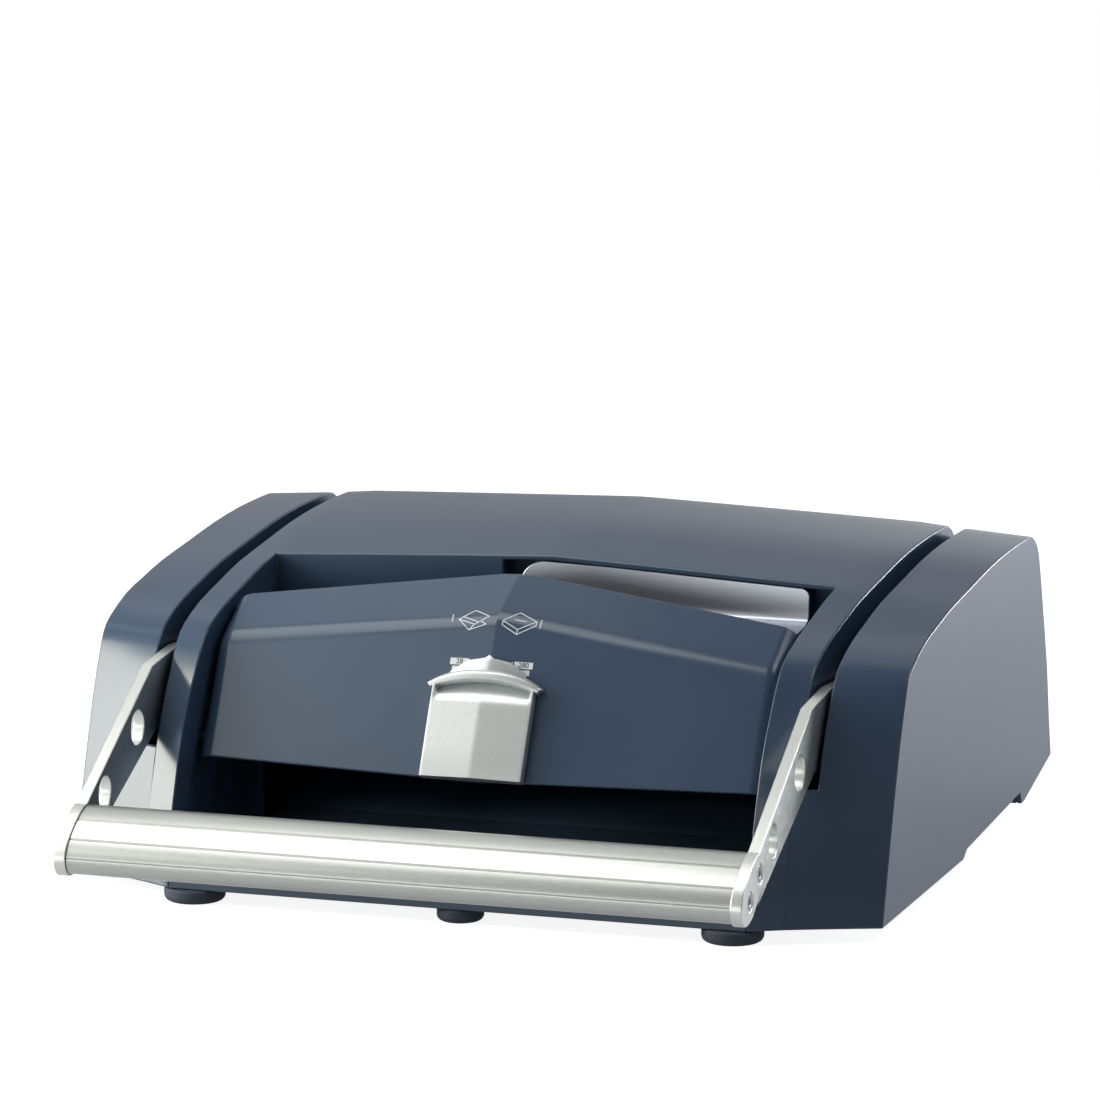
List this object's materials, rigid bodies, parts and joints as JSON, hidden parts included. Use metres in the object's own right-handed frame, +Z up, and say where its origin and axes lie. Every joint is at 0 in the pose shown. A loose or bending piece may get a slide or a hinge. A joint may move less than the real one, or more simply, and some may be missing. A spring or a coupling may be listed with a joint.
{
  "type": "binding machine",
  "caption": "Desktop channel binding machine with a wide two-arm press lever, a hinged front flap with a sliding size knob, a top document slot and a curved document rest.",
  "frame": {"origin": "centre of the outline on the table, at the underside of the feet", "axes": "+X to the right as seen from the handle, +Y from the handle to the rear, +Z up"},
  "size_m": [0.465, 0.501, 0.179],
  "materials": {
    "blue_grey_plastic": "satin moulded plastic",
    "dark_plastic": "dull moulded plastic",
    "satin_aluminium": "satin, brushed along its length",
    "silver_plastic": "satin silver lacquer",
    "steel": "machined",
    "dark_steel": "black oxide",
    "bronze": "sintered bearing bronze",
    "rubber": "dull"
  },
  "bodies": {
    "base": {"base_pan": "dark_plastic", "top_cover": "blue_grey_plastic", "rear_panel": "blue_grey_plastic", "cheek_cover_left": "blue_grey_plastic", "cheek_cover_right": "blue_grey_plastic", "document_rest": "satin_aluminium", "fixed_jaw": "steel", "spine_rest": "dark_steel", "tie_rod_front": "steel", "tie_rod_rear": "steel", "foot_front_left": "rubber", "foot_front_right": "rubber", "foot_front_centre": "rubber", "foot_rear_left": "rubber", "foot_rear_right": "rubber", "side_frame_left": "dark_steel", "side_frame_right": "dark_steel", "shaft_bush_left": "bronze", "shaft_bush_right": "bronze", "jaw_screw_left": "steel", "jaw_screw_right": "steel", "guide_pin_left": "steel", "guide_pin_right": "steel", "return_spring_left": "steel", "return_spring_right": "steel", "lever_stop_left": "rubber", "lever_stop_right": "rubber", "flap_pin_left": "steel", "flap_pin_right": "steel", "flap_buffer_left": "rubber", "flap_buffer_right": "rubber", "cover_screw_left_front": "steel", "cover_screw_left_rear": "steel", "cover_screw_right_front": "steel", "cover_screw_right_rear": "steel", "frame_screw_left_front": "steel", "frame_screw_left_rear": "steel", "frame_screw_right_front": "steel", "frame_screw_right_rear": "steel"},
    "press": {"moving_jaw": "steel", "cam_pad_left": "bronze", "cam_pad_right": "bronze"},
    "lever": {"lever_shaft": "steel", "cam_left": "dark_steel", "cam_right": "dark_steel", "lever_arm_left": "satin_aluminium", "lever_arm_right": "satin_aluminium", "handle_bar": "satin_aluminium", "handle_screw_left_lower": "steel", "handle_screw_left_upper": "steel", "handle_screw_right_lower": "steel", "handle_screw_right_upper": "steel"},
    "flap": {"front_flap": "blue_grey_plastic"},
    "knob": {"size_knob": "silver_plastic", "size_knob_clip": "dark_plastic", "size_knob_screw": "steel"}
  },
  "joints": [
    {"name": "lever_hinge", "type": "hinge", "parent": "base", "child": "lever", "pos_m": [0, 0.0515, 0.104], "axis": [-1, 0, 0], "range_deg": [0, 150]},
    {"name": "jaw_slide", "type": "slide", "parent": "base", "child": "press", "axis": [0, 1, 0], "range_m": [0, 0.008], "deforming": ["return_spring_left", "return_spring_right"]},
    {"name": "flap_hinge", "type": "hinge", "parent": "base", "child": "flap", "pos_m": [0, -0.0955, 0.082], "axis": [1, 0, 0], "range_deg": [0, 20]},
    {"name": "size_knob_slide", "type": "slide", "parent": "flap", "child": "knob", "axis": [0, -0.4536, -0.8912], "range_m": [0, 0.028]}
  ],
  "couplings": [
    {"joint": "jaw_slide", "follows": "lever_hinge", "m_per_rad": 0.0030558}
  ]
}
